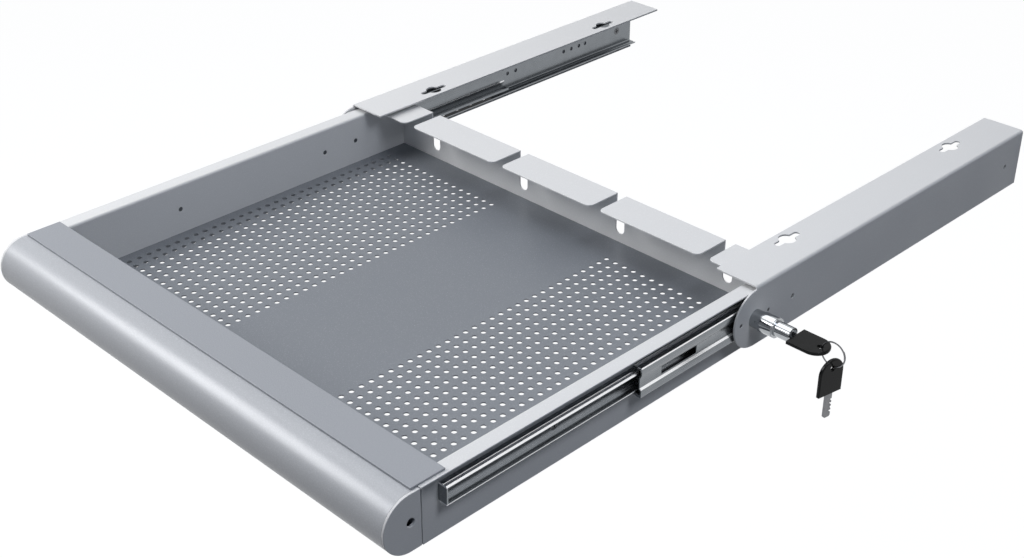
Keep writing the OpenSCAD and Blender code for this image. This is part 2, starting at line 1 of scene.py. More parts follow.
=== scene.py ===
# Under-desk drawer with a push-button lock, pulled out: its finishes and fine shapes.
import json
import math
import bmesh
import bpy
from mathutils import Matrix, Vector

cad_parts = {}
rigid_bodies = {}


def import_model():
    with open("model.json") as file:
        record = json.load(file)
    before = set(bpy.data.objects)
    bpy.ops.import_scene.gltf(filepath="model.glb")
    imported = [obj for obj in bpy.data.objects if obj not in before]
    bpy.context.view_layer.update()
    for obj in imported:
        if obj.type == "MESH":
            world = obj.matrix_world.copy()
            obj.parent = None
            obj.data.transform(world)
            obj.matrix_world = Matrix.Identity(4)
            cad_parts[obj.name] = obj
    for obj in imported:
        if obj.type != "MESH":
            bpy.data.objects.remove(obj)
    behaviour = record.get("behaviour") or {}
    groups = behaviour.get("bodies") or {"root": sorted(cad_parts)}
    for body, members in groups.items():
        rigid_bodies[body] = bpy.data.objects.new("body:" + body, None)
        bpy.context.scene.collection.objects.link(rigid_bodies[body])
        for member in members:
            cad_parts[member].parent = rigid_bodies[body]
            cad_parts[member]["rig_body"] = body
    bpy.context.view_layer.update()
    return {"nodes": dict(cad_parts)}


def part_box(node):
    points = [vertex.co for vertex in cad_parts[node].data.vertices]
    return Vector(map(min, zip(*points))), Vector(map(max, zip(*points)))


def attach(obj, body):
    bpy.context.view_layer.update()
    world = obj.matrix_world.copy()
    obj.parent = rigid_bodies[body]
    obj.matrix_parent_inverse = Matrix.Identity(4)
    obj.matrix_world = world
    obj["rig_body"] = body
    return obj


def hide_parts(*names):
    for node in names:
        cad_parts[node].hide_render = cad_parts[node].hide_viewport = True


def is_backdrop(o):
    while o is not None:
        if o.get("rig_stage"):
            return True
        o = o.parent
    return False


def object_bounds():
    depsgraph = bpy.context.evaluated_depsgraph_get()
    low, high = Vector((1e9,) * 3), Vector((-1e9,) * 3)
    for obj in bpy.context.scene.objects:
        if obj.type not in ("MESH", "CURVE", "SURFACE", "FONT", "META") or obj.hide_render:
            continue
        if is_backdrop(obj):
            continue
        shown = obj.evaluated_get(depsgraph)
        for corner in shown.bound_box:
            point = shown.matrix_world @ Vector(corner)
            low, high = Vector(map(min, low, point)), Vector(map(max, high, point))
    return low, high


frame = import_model()
nodes = frame["nodes"]


# The studio: a pale floor well below the drawer, in a white room that metal mirrors too. A wide soft
# box hangs overhead, with a cool one on the right that lights the sides and throws the runners'
# shadows, and one in front on the left for the round nose. The camera is where the photograph's was.
MM = 0.001
CAMERA_PLACE = Vector((762.6, -964.7, 555.4)) * MM
CAMERA_AZIMUTH = math.radians(45.16)
CAMERA_ELEVATION = math.radians(30.43)
CAMERA_LENS = 54.51
FLOOR_DROP = 450 * MM
FLOOR_REACH = 12
FLOOR_GREY = "#464a50"
FLOOR_GLOW = 0.97
ROOM_FILL = "#3c4553"
WHITE = "#ffffff"
COOL_WHITE = "#eff5ff"


def link(piece):
    bpy.context.scene.collection.objects.link(piece)
    return piece


def srgb(code):
    """An sRGB hex colour as linear red, green, blue and alpha."""
    parts = [int(code[i:i + 2], 16) / 255 for i in (1, 3, 5)]
    return [p / 12.92 if p <= 0.04045 else ((p + 0.055) / 1.055) ** 2.4 for p in parts] + [1]


def add(tree, kind, inputs=None, **settings):
    """Adds one node. Settings are its properties. Inputs are its sockets' values, or what is linked to
    them."""
    made = tree.nodes.new(kind)
    for key, value in settings.items():
        setattr(made, key, value)
    for key, value in (inputs or {}).items():
        socket = next(s for s in made.inputs if key in (s.identifier, s.name))
        for one in value if isinstance(value, (list, tuple)) else [value]:
            if isinstance(one, bpy.types.NodeSocket):
                tree.links.new(one, socket)
            else:
                socket.default_value = value
    return made


def seen_directly(tree):
    """1 for the rays that see the background: from the camera, in a mirror and through glass."""
    ray = add(tree, "ShaderNodeLightPath").outputs
    seen = ray["Is Camera Ray"]
    for other in ("Is Glossy Ray", "Is Transmission Ray"):
        seen = add(tree, "ShaderNodeMath", {"Value": seen, "Value_001": ray[other]},
                   operation="MAXIMUM").outputs[0]
    return seen


def soft_box(name, place, size, power, aim, colour=WHITE):
    """A square lamp that shines on aim and isn't seen itself, with its place and size in metres."""
    lamp = link(bpy.data.objects.new(name, bpy.data.lights.new(name, "AREA")))
    lamp.data.shape = "SQUARE"
    lamp.data.size = size
    lamp.data.energy = power
    lamp.data.color = srgb(colour)[:3]
    lamp.location = place
    lamp.rotation_euler = (Vector(place) - Vector(aim)).to_track_quat("Z", "Y").to_euler()
    lamp.visible_camera = False


camera = link(bpy.data.objects.new("camera", bpy.data.cameras.new("camera")))
camera.data.lens = CAMERA_LENS
camera.location = CAMERA_PLACE
towards_camera = Vector((math.sin(CAMERA_AZIMUTH) * math.cos(CAMERA_ELEVATION),
                         -math.cos(CAMERA_AZIMUTH) * math.cos(CAMERA_ELEVATION), math.sin(CAMERA_ELEVATION)))
camera.rotation_euler = towards_camera.to_track_quat("Z", "Y").to_euler()
bpy.context.scene.camera = camera
bpy.context.scene.view_settings.view_transform = "Standard"

world = bpy.data.worlds.new("white_room")
world.use_nodes = True
bpy.context.scene.world = world
tree = world.node_tree
room = add(tree, "ShaderNodeMix", {"Factor_Float": seen_directly(tree), "A_Color": srgb(ROOM_FILL),
                                   "B_Color": srgb(WHITE)}, data_type="RGBA")
tree.links.new(room.outputs["Result"], tree.nodes["Background"].inputs["Color"])

soft_box("soft_box_top", place=(-0.22, -0.1, 1.5), size=1.6, power=14.5, aim=(0, -0.2, 0))
soft_box("soft_box_right", place=(0.95, -0.35, 1.05), size=0.4, power=4.6, aim=(0.2, -0.3, 0),
         colour=COOL_WHITE)
soft_box("soft_box_front", place=(-0.85, -1.15, 0.8), size=0.67, power=13.0, aim=(0, -0.5, 0))

floor_mesh = bpy.data.meshes.new("studio_floor")
corners = [(x * FLOOR_REACH, y * FLOOR_REACH, -FLOOR_DROP) for x, y in ((-1, -1), (1, -1), (1, 1), (-1, 1))]
floor_mesh.from_pydata(corners, [], [(0, 1, 2, 3)])
floor_paint = bpy.data.materials.new("studio_floor_white")
floor_paint.use_nodes = True
tree = floor_paint.node_tree
tree.nodes.clear()
lit = add(tree, "ShaderNodeBsdfDiffuse", {"Color": srgb(FLOOR_GREY)})
white = add(tree, "ShaderNodeEmission", {"Color": srgb(WHITE), "Strength": FLOOR_GLOW})
pale = add(tree, "ShaderNodeAddShader", {"Shader": lit.outputs[0], "Shader_001": white.outputs[0]})
shown = add(tree, "ShaderNodeMixShader", {"Fac": seen_directly(tree), "Shader": lit.outputs[0],
                                          "Shader_001": pale.outputs[0]})
add(tree, "ShaderNodeOutputMaterial", {"Surface": shown.outputs[0]})
floor_mesh.materials.append(floor_paint)
link(bpy.data.objects.new("studio_floor", floor_mesh))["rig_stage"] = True


# The brackets: two channels folded from 1.5 mm steel sheet, cut with keyholes for the desk screws,
# and powder coated silver: a satin coat with a fine orange peel and small glints of aluminium flake.
WELD = 0.002 * MM
FLAT = math.radians(1)
SMOOTH = math.radians(32)
SHEET_EDGE = 0.25 * MM
GRAIN_DETAIL = 2
# Noise seldom leaves this span, which is stretched from one look to the other
NOISE_SPAN = {"From Min": 0.3, "From Max": 0.7}


def finish(name, values):
    """A new material and its tree, with the values that are the same all over set on its shader."""
    material = bpy.data.materials.new(name)
    material.use_nodes = True
    for key, value in values.items():
        material.node_tree.nodes["Principled BSDF"].inputs[key].default_value = value
    return material, material.node_tree


def varied(material, tone, gloss, relief=None):
    """The material, with nodes that vary its colour, its roughness and its relief linked to its shader."""
    tree = material.node_tree
    looks = tree.nodes["Principled BSDF"].inputs
    tree.links.new(tone.outputs["Result"], looks["Base Color"])
    tree.links.new(gloss.outputs["Result"], looks["Roughness"])
    if relief:
        tree.links.new(relief.outputs["Normal"], looks["Normal"])
    return material


def grain(tree, size, stretch=(1, 1, 1)):
    """Noise with grains of a real size, which stretch makes longer along an axis."""
    place = add(tree, "ShaderNodeTexCoord").outputs["Object"]
    drawn = add(tree, "ShaderNodeMapping", {"Vector": place, "Scale": Vector([1 / s for s in stretch])})
    return add(tree, "ShaderNodeTexNoise", {"Vector": drawn.outputs[0], "Scale": 1 / size,
                                            "Detail": GRAIN_DETAIL}).outputs["Fac"]


def powder_coat(name, shade, glint, roughness, metallic):
    """Sprayed and baked powder: orange peel 1.8 mm across, flakes drawn 0.8 mm wide so that they show."""
    material, tree = finish(name, {"Metallic": metallic, "Specular IOR Level": 0.25})
    flakes = add(tree, "ShaderNodeMapRange", {"Value": grain(tree, 0.8 * MM), "From Min": 0.58,
                                              "From Max": 0.78})
    tone = add(tree, "ShaderNodeMix", {"Factor_Float": flakes.outputs["Result"], "A_Color": srgb(shade),
                                       "B_Color": srgb(glint)}, data_type="RGBA")
    gloss = add(tree, "ShaderNodeMapRange", {"Value": grain(tree, 45 * MM), **NOISE_SPAN,
                                             "To Min": roughness - 0.05, "To Max": roughness + 0.05})
    peel = add(tree, "ShaderNodeBump", {"Height": grain(tree, 1.8 * MM), "Strength": 0.25,
                                        "Distance": 0.03 * MM})
    return varied(material, tone, gloss, peel)


def merged(node):
    """A copy of a CAD node's mesh, with its loose triangles merged into whole faces."""
    mesh = bpy.data.meshes.new(node)
    work = bmesh.new()
    work.from_mesh(nodes[node].data)
    bmesh.ops.remove_doubles(work, verts=work.verts, dist=WELD)
    bmesh.ops.dissolve_limit(work, angle_limit=FLAT, verts=work.verts, edges=work.edges)
    work.to_mesh(mesh)
    work.free()
    # The CAD's stored normals go, because they would shade the rounded edges wrongly
    for layer in [a for a in mesh.attributes if "normal" in a.name]:
        mesh.attributes.remove(layer)
    return mesh


def part(name, mesh, material, like, edge=0.0):
    """A finished piece that replaces the CAD node that it is like and rides on that node's body. edge is
    the width of its rounded edges."""
    mesh.materials.clear()
    mesh.materials.append(material)
    mesh.shade_smooth()
    mesh.set_sharp_from_angle(angle=SMOOTH)
    made = link(bpy.data.objects.new(name, mesh))
    if edge:
        bevel = made.modifiers.new("rounded_edges", "BEVEL")
        bevel.width = edge
        bevel.segments = 2
        bevel.angle_limit = SMOOTH
        bevel.harden_normals = True
        bevel.use_clamp_overlap = False
    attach(made, nodes[like]["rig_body"])
    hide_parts(like)
    return made


SILVER = powder_coat("silver_powder_coat", "#dfdfdf", "#ededed", 0.42, 0.0)
for side in ("left", "right"):
    bracket = f"bracket_{side}"
    part(f"folded_{bracket}", merged(bracket), SILVER, bracket, SHEET_EDGE)


# The runners: three nested members on each side, roll formed from cold rolled steel strip and bright
# zinc plated. The plating keeps the fine lines that the rollers drew along the strip. Bands along the
# lips and folds are painted almost white: painted highlights where those edges catch the light.
RUNNER_EDGE = 0.2 * MM
RUNNER_HEIGHT = -26.7 * MM
# Painted highlights: the runners' lips and folds are painted this near white, in the bands listed below by
# their heights in mm above the runner's middle
PAINTED_HIGHLIGHT_WHITE = "#f1f2f4"
PAINTED_HIGHLIGHT_BANDS = {"outer": [], "middle": [(-5.7, -3.9), (11.2, 11.95)], "inner": [(-7.3, -6.3), (6.1, 7.45)]}


def zinc_plate(name, shade, bright, roughness, painted_highlights=()):
    """Plated strip: clouds 9 mm across in its colour, and rolling lines drawn 0.5 mm wide along it.
    Bands given by their heights in mm above the runner's middle are painted near white, as painted
    highlights."""
    material, tree = finish(name, {"Metallic": 1.0})
    clouds = add(tree, "ShaderNodeMapRange", {"Value": grain(tree, 9 * MM), **NOISE_SPAN})
    lines = grain(tree, 0.5 * MM, stretch=(1, 400, 1))
    tone = add(tree, "ShaderNodeMix", {"Factor_Float": clouds.outputs["Result"], "A_Color": srgb(shade),
                                       "B_Color": srgb(bright)}, data_type="RGBA")
    gloss = add(tree, "ShaderNodeMapRange", {"Value": lines, **NOISE_SPAN, "To Min": roughness - 0.03,
                                             "To Max": roughness + 0.03})
    drawn = add(tree, "ShaderNodeBump", {"Height": lines, "Strength": 0.08, "Distance": 0.01 * MM})
    place = add(tree, "ShaderNodeSeparateXYZ", {"Vector": add(tree, "ShaderNodeTexCoord").outputs["Object"]})
    above = add(tree, "ShaderNodeMath", {"Value": place.outputs["Z"], "Value_001": RUNNER_HEIGHT},
                operation="SUBTRACT")
    # Each band is a painted highlight: within it the colour turns near white
    for start, end in painted_highlights:
        highlight_band = add(tree, "ShaderNodeMath", {"Value": above.outputs[0], "Value_001": (start + end) / 2 * MM,
                                            "Value_002": (end - start) / 2 * MM}, operation="COMPARE")
        tone = add(tree, "ShaderNodeMix", {
            "Factor_Float": highlight_band.outputs[0], "A_Color": tone.outputs["Result"],
            "B_Color": srgb(PAINTED_HIGHLIGHT_WHITE)}, data_type="RGBA")
    return varied(material, tone, gloss, drawn)


for member, highlight_bands in PAINTED_HIGHLIGHT_BANDS.items():
    zinc = zinc_plate(f"bright_zinc_plate_{member}", "#7b7f83", "#808488", 0.26, highlight_bands)
    for side in ("left", "right"):
        runner = f"runner_{member}_{side}"
        part(f"rolled_{runner}", merged(runner), zinc, runner, RUNNER_EDGE)


# The screws: zinc-plated machine screws with a cross recess, countersunk where they hold the outer
# members to the brackets, and with pan heads inside the inner members and behind the nose.
# The length and width of a bar of the cross, and twice its depth
CROSS = Vector((4.2, 0.9, 1.6)) * MM
SHANK_RADIUS = 1.95 * MM
COUNTERSINK_HEIGHT = 1.2 * MM
PAN_HEIGHT = 1.4 * MM
SHANK_SIDES = 24
HEAD_SIDES = 32


def new_tree(name, sizes):
    """A geometry node tree with one named input for each size, and the sockets that carry them."""
    tree = bpy.data.node_groups.new(name, "GeometryNodeTree")
    tree.interface.new_socket("Geometry", in_out="INPUT", socket_type="NodeSocketGeometry")
    tree.interface.new_socket("Geometry", in_out="OUTPUT", socket_type="NodeSocketGeometry")
    for size, kind in sizes.items():
        tree.interface.new_socket(size, in_out="INPUT", socket_type=f"NodeSocket{kind}")
    return tree, add(tree, "NodeGroupInput").outputs


def end_tree(tree, geometry, material):
    """Ends a tree in real geometry with its material."""
    real = add(tree, "GeometryNodeRealizeInstances", {"Geometry": geometry})
    painted = add(tree, "GeometryNodeSetMaterial", {"Geometry": real.outputs[0], "Material": material})
    add(tree, "NodeGroupOutput", {"Geometry": painted.outputs[0]})


def grown(tree, values, points=()):
    """What a geometry node tree makes on some points, as a plain mesh with welded, outward faces."""
    seed = bpy.data.meshes.new(tree.name)
    seed.from_pydata(list(points), [], [])
    carrier = link(bpy.data.objects.new(tree.name, seed))
    modifier = carrier.modifiers.new(tree.name, "NODES")
    modifier.node_group = tree
    for item in tree.interface.items_tree:
        if item.name in values:
            modifier[item.identifier] = values[item.name]
    bpy.context.view_layer.update()
    evaluated = carrier.evaluated_get(bpy.context.evaluated_depsgraph_get())
    mesh = bpy.data.meshes.new_from_object(evaluated)
    bpy.data.objects.remove(carrier)
    work = bmesh.new()
    work.from_mesh(mesh)
    bmesh.ops.remove_doubles(work, verts=work.verts, dist=WELD)
    bmesh.ops.recalc_face_normals(work, faces=work.faces)
    work.to_mesh(mesh)
    work.free()
    return mesh


def solids(node):
    """Lowest and highest corner of each separate solid of a CAD node."""
    work = bmesh.new()
    work.from_mesh(nodes[node].data)
    bmesh.ops.remove_doubles(work, verts=work.verts, dist=WELD)
    left, found = set(work.verts), []
    while left:
        front, group = [left.pop()], []
        while front:
            vert = front.pop()
            group.append(vert.co.copy())
            beside = {edge.other_vert(vert) for edge in vert.link_edges} & left
            left -= beside
            front += beside
        found.append([Vector(map(pick, zip(*group))) for pick in (min, max)])
    work.free()
    return sorted(found, key=lambda box: tuple(box[0]))


def screw_on_points(tree, size):
    """The nodes of one screw on each point: a head with a cross cut in it, on a shank along local Z."""
    head = add(tree, "GeometryNodeMeshCone", {
        "Vertices": HEAD_SIDES, "Radius Top": size["Neck radius"], "Radius Bottom": size["Head radius"],
        "Depth": size["Head height"]})
    bars = []
    for turn in (0, math.pi / 2):
        bar = add(tree, "GeometryNodeMeshCube", {"Size": size["Cross"]})
        bars.append(add(tree, "GeometryNodeTransform", {"Geometry": bar.outputs[0],
                                                        "Rotation": (0, 0, turn)}).outputs[0])
    cut = add(tree, "GeometryNodeMeshBoolean", {"Mesh 1": head.outputs[0], "Mesh 2": bars}, solver="EXACT")
    shank = add(tree, "GeometryNodeMeshCylinder", {"Vertices": SHANK_SIDES, "Radius": size["Shank radius"],
                                                   "Depth": size["Length"]})
    half = add(tree, "ShaderNodeMath", {"Value": size["Length"], "Value_001": 0.5}, operation="MULTIPLY")
    middle = add(tree, "ShaderNodeMath", {"Value": half.outputs[0], "Value_001": size["Head height"]})
    lift = add(tree, "ShaderNodeCombineXYZ", {"Z": middle.outputs[0]})
    below = add(tree, "GeometryNodeTransform", {"Geometry": shank.outputs[0],
                                                "Translation": lift.outputs[0]})
    whole = add(tree, "GeometryNodeJoinGeometry", {"Geometry": [cut.outputs[0], below.outputs[0]]})
    along = add(tree, "GeometryNodeTransform", {"Geometry": whole.outputs[0], "Rotation": size["Pointing"]})
    place = add(tree, "GeometryNodeInputPosition")
    across = add(tree, "ShaderNodeSeparateXYZ", {"Vector": place.outputs[0]})
    left = add(tree, "ShaderNodeMath", {"Value": across.outputs["X"], "Value_001": 0.0},
               operation="LESS_THAN")
    turn = add(tree, "ShaderNodeMath", {"Value": left.outputs[0], "Value_001": size["Left turn"]},
               operation="MULTIPLY")
    about = add(tree, "ShaderNodeCombineXYZ", {"Z": turn.outputs[0]})
    spin = add(tree, "FunctionNodeEulerToRotation", {"Euler": about.outputs[0]})
    placed = add(tree, "GeometryNodeInstanceOnPoints", {
        "Points": size["Geometry"], "Instance": along.outputs[0], "Rotation": spin.outputs[0]})
    return placed.outputs[0]


SCREW_ZINC = zinc_plate("screw_zinc_plate", "#595b5e", "#6c6e71", 0.3)
screw_sizes = ("Length", "Shank radius", "Head radius", "Neck radius", "Head height", "Left turn")
screw_tree, sockets = new_tree("cross_recess_screw", {**{size: "Float" for size in screw_sizes},
                                                      "Pointing": "Vector", "Cross": "Vector"})
end_tree(screw_tree, screw_on_points(screw_tree, sockets), SCREW_ZINC)


def screws(name, node, pointing, shank, head_height, neck=None, cross=CROSS):
    """One screw for each solid of a node. pointing is the way that those on the right point, and neck is
    the radius of a countersunk head where it meets its shank."""
    points = []
    for low, high in solids(node):
        way = Vector(pointing)
        if low.x < 0:
            way.x = -way.x
        middle, half = (low + high) / 2, (high - low) / 2
        points.append([m - w * h for m, w, h in zip(middle, way, half)])
    length = max(abs(w * h) for w, h in zip(pointing, high - low))
    head_radius = min((high - low).y, (high - low).z) / 2 if pointing[0] else (high - low).x / 2
    mesh = grown(screw_tree, {
        "Length": length - head_height, "Shank radius": shank, "Head radius": head_radius,
        "Neck radius": neck or head_radius, "Head height": head_height,
        "Left turn": math.pi if pointing[0] else 0.0, "Cross": cross,
        "Pointing": Vector(Vector(pointing).to_track_quat("Z", "Y").to_euler())}, points)
    return part(name, mesh, SCREW_ZINC, node)


screws("countersunk_screws", "bracket_screws", (1, 0, 0), SHANK_RADIUS, COUNTERSINK_HEIGHT, SHANK_RADIUS)
screws("pan_head_wall_screws", "wall_screws", (-1, 0, 0), SHANK_RADIUS, PAN_HEIGHT)
screws("pan_head_nose_screws", "nose_screws", (0, -1, 0), SHANK_RADIUS, PAN_HEIGHT)


# The balls: hardened and polished steel, in rows above and below each inner and middle member, kept
# apart by cages of black acetal that are moulded with a pocket for each ball.
BALL_SEGMENTS = 20
CAGE_EDGE = 0.08 * MM


def moulded_plastic(name, shade, cloud, roughness, texture_depth, sheen):
    """Injection moulded plastic: a spark eroded texture with grains drawn 0.6 mm wide, and a faint
    cloudiness 6 mm across in its colour and its gloss."""
    material, tree = finish(name, {"IOR": 1.5, "Specular IOR Level": sheen})
    clouds = add(tree, "ShaderNodeMapRange", {"Value": grain(tree, 6 * MM), **NOISE_SPAN})
    tone = add(tree, "ShaderNodeMix", {"Factor_Float": clouds.outputs["Result"], "A_Color": srgb(shade),
                                       "B_Color": srgb(cloud)}, data_type="RGBA")
    gloss = add(tree, "ShaderNodeMapRange", {"Value": clouds.outputs["Result"], "To Min": roughness - 0.04,
                                             "To Max": roughness + 0.04})
    texture = add(tree, "ShaderNodeBump", {"Height": grain(tree, 0.6 * MM), "Strength": 0.3,
                                           "Distance": texture_depth})
    return varied(material, tone, gloss, texture)


def polished_metal(name, shade, cloud, roughness, cloud_size):
    """Polished or plated metal: a faint cloudiness of a real size in its colour and its gloss."""
    material, tree = finish(name, {"Metallic": 1.0})
    clouds = add(tree, "ShaderNodeMapRange", {"Value": grain(tree, cloud_size), **NOISE_SPAN})
    tone = add(tree, "ShaderNodeMix", {"Factor_Float": clouds.outputs["Result"], "A_Color": srgb(shade),
                                       "B_Color": srgb(cloud)}, data_type="RGBA")
    gloss = add(tree, "ShaderNodeMapRange", {"Value": clouds.outputs["Result"], "To Min": roughness * 0.7,
                                             "To Max": roughness * 1.3})
    return varied(material, tone, gloss)


ACETAL = moulded_plastic("black_acetal", "#1c1d1f", "#222325", 0.45, 0.02 * MM, sheen=0.5)
BALL_STEEL = polished_metal("polished_ball_steel", "#c9cacc", "#d6d7d8", 0.1, 2 * MM)
ball_tree, size = new_tree("ball_rows", {"Radius": "Float"})
ball = add(ball_tree, "GeometryNodeMeshUVSphere", {"Segments": BALL_SEGMENTS, "Rings": BALL_SEGMENTS // 2,
                                                   "Radius": size["Radius"]})
balls = add(ball_tree, "GeometryNodeInstanceOnPoints", {"Points": size["Geometry"],
                                                        "Instance": ball.outputs[0]})
end_tree(ball_tree, balls.outputs[0], BALL_STEEL)
for side in ("left", "right"):
    for row in ("outer", "inner"):
        node = f"balls_{row}_{side}"
        boxes = solids(node)
        radius = (boxes[0][1].z - boxes[0][0].z) / 2
        mesh = grown(ball_tree, {"Radius": radius}, [(low + high) / 2 for low, high in boxes])
        part(f"steel_{node}", mesh, BALL_STEEL, node)
        cage = f"cage_{row}_{side}"
        part(f"moulded_{cage}", merged(cage), ACETAL, cage, CAGE_EDGE)


# The tray's floor: 1 mm steel sheet punched with two fields of round holes that let warm air out, its
# sides folded down, and coated in a darker grey than the silver parts.
HOLE_DIAMETER = 4.2 * MM
HOLE_SIDES = 18
PITCH_ACROSS = 9.3 * MM
PITCH_ALONG = 8.95 * MM
COLUMNS = 15
ROWS = 35
MARGIN = 10.7 * MM
FLOOR_SHEET = 1 * MM


def extruded(tree, faces, distance):
    """The nodes that give flat faces a thickness along their normals, closed on both sides."""
    walls = add(tree, "GeometryNodeExtrudeMesh", {"Mesh": faces, "Offset Scale": distance,
                                                  "Individual": False})
    both = add(tree, "GeometryNodeJoinGeometry", {"Geometry": [faces, walls.outputs["Mesh"]]})
    return both.outputs[0]


GREY = powder_coat("grey_powder_coat", "#7d8187", "#9a9ea3", 0.42, 0.15)
floor_tree, size = new_tree("perforated_floor", {
    "Width": "Float", "Length": "Float", "Thickness": "Float", "Hole radius": "Float", "Columns": "Int",
    "Rows": "Int", "Field width": "Float", "Field length": "Float", "Field offset": "Vector",
    "Place": "Vector", "Flange": "Vector", "Flange place": "Vector"})
outline = add(floor_tree, "GeometryNodeCurvePrimitiveQuadrilateral", {
    "Width": size["Width"], "Height": size["Length"]})
hole = add(floor_tree, "GeometryNodeCurvePrimitiveCircle", {
    "Resolution": HOLE_SIDES, "Radius": size["Hole radius"]})
field = add(floor_tree, "GeometryNodeMeshGrid", {
    "Size X": size["Field width"], "Size Y": size["Field length"], "Vertices X": size["Columns"],
    "Vertices Y": size["Rows"]})
flange = add(floor_tree, "GeometryNodeMeshCube", {"Size": size["Flange"]})
fields, flanges = [], []
for half in (-1, 1):
    to_side = {"Vector": size["Field offset"], "Scale": float(half)}
    moved = add(floor_tree, "ShaderNodeVectorMath", to_side, operation="SCALE")
    fields.append(add(floor_tree, "GeometryNodeTransform", {
        "Geometry": field.outputs[0], "Translation": moved.outputs[0]}).outputs[0])
    mirrored = add(floor_tree, "ShaderNodeVectorMath", {
        "Vector": size["Flange place"], "Vector_001": (half, 1, 1)}, operation="MULTIPLY")
    flanges.append(add(floor_tree, "GeometryNodeTransform", {
        "Geometry": flange.outputs[0], "Translation": mirrored.outputs[0]}).outputs[0])
both = add(floor_tree, "GeometryNodeJoinGeometry", {"Geometry": fields})
holes = add(floor_tree, "GeometryNodeInstanceOnPoints", {"Points": both.outputs[0],
                                                         "Instance": hole.outputs[0]})
punched = add(floor_tree, "GeometryNodeRealizeInstances", {"Geometry": holes.outputs[0]})
curves = add(floor_tree, "GeometryNodeJoinGeometry", {"Geometry": [outline.outputs[0], punched.outputs[0]]})
filled = add(floor_tree, "GeometryNodeFillCurve", {"Curve": curves.outputs[0]})
sheet = extruded(floor_tree, filled.outputs[0], size["Thickness"])
placed = add(floor_tree, "GeometryNodeTransform", {"Geometry": sheet, "Translation": size["Place"]})
whole = add(floor_tree, "GeometryNodeJoinGeometry", {"Geometry": [placed.outputs[0], *flanges]})
end_tree(floor_tree, whole.outputs[0], GREY)
low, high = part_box("floor_panel")
flange_height = high.z - low.z - FLOOR_SHEET
# The sheet grows up from the solid's top face, so it lies one thickness above the solid's sheet
mesh = grown(floor_tree, {
    "Width": high.x - low.x, "Length": high.y - low.y, "Thickness": FLOOR_SHEET,
    "Hole radius": HOLE_DIAMETER / 2, "Columns": COLUMNS, "Rows": ROWS,
    "Field width": (COLUMNS - 1) * PITCH_ACROSS, "Field length": (ROWS - 1) * PITCH_ALONG,
    "Field offset": Vector((high.x - MARGIN - (COLUMNS - 1) / 2 * PITCH_ACROSS, 0, 0)),
    "Place": Vector((0, (low.y + high.y) / 2, high.z)),
    "Flange": Vector((FLOOR_SHEET, high.y - low.y, flange_height)),
    "Flange place": Vector((high.x - FLOOR_SHEET / 2, (low.y + high.y) / 2, low.z + flange_height / 2))})
part("perforated_floor", mesh, GREY, "floor_panel")


# The tray's walls: 1.2 mm steel sheet, the side walls with a rim folded outwards, the back panel with
# tabs folded forwards over the tray and slots for cables, all powder coated silver.
for wall in ("side_wall_left", "side_wall_right", "back_panel", "front_panel"):
    part(f"folded_{wall}", merged(wall), SILVER, wall, SHEET_EDGE)


# The nose: a hollow aluminium extrusion with a round front, bead blasted and clear anodised to a
# satin silver, with flat end plates that are coated like the brackets.
NOSE_WALL = 2 * MM
NOSE_STEPS = 40
NOSE_EDGE = 0.6 * MM
PLATE_EDGE = 0.35 * MM


def anodised(name, shade, glint, roughness, metallic):
    """Bead-blasted and anodised aluminium: blasting pits drawn 0.7 mm wide, and a cloudy sheen."""
    material, tree = finish(name, {"Metallic": metallic, "Specular IOR Level": 0.4})
    pits = grain(tree, 0.7 * MM)
    speckle = add(tree, "ShaderNodeMapRange", {"Value": pits, "From Min": 0.45, "From Max": 0.75})
    tone = add(tree, "ShaderNodeMix", {"Factor_Float": speckle.outputs["Result"], "A_Color": srgb(shade),
                                       "B_Color": srgb(glint)}, data_type="RGBA")
    clouds = grain(tree, 30 * MM, stretch=(4, 1, 1))
    gloss = add(tree, "ShaderNodeMapRange", {"Value": clouds, **NOISE_SPAN, "To Min": roughness - 0.03,
                                             "To Max": roughness + 0.03})
    blast = add(tree, "ShaderNodeBump", {"Height": pits, "Strength": 0.25, "Distance": 0.02 * MM})
    return varied(material, tone, gloss, blast)


SATIN = anodised("satin_anodised_aluminium", "#adafb3", "#bbbdc1", 0.34, 0.07)
nose_tree, size = new_tree("nose_section", {"Depth": "Float", "Radius": "Float", "Edge radius": "Float",
                                            "Wall": "Float", "Length": "Float", "Place": "Vector"})
# Of the section's corners, numbered 0 to 3, the two in the middle of that row are in front
number = add(nose_tree, "GeometryNodeInputIndex")
corner = add(nose_tree, "ShaderNodeMath", {"Value": number.outputs[0], "Value_001": 1.5},
             operation="SUBTRACT")
aside = add(nose_tree, "ShaderNodeMath", {"Value": corner.outputs[0]}, operation="ABSOLUTE")
in_front = add(nose_tree, "ShaderNodeMath", {"Value": aside.outputs[0], "Value_001": 1.0},
               operation="LESS_THAN")
loops = []
for walls in (0, 1):
    inset = add(nose_tree, "ShaderNodeMath", {"Value": size["Wall"], "Value_001": float(walls)},
                operation="MULTIPLY").outputs[0]
    round_front = add(nose_tree, "ShaderNodeMath", {"Value": size["Radius"], "Value_001": inset},
                      operation="SUBTRACT")
    height = add(nose_tree, "ShaderNodeMath", {"Value": round_front.outputs[0], "Value_001": 2.0},
                 operation="MULTIPLY")
    depth = add(nose_tree, "ShaderNodeMath", {"Value": inset, "Value_001": -2.0, "Value_002": size["Depth"]},
                operation="MULTIPLY_ADD")
    block = add(nose_tree, "GeometryNodeCurvePrimitiveQuadrilateral", {
        "Width": depth.outputs[0], "Height": height.outputs[0]})
    radius = add(nose_tree, "ShaderNodeMix", {
        "Factor_Float": in_front.outputs[0], "A_Float": size["Edge radius"],
        "B_Float": round_front.outputs[0]})
    loops.append(add(nose_tree, "GeometryNodeFilletCurve", {
        "Curve": block.outputs[0], "Count": NOSE_STEPS, "Radius": radius.outputs[0], "Limit Radius": True},
        mode="POLY").outputs[0])
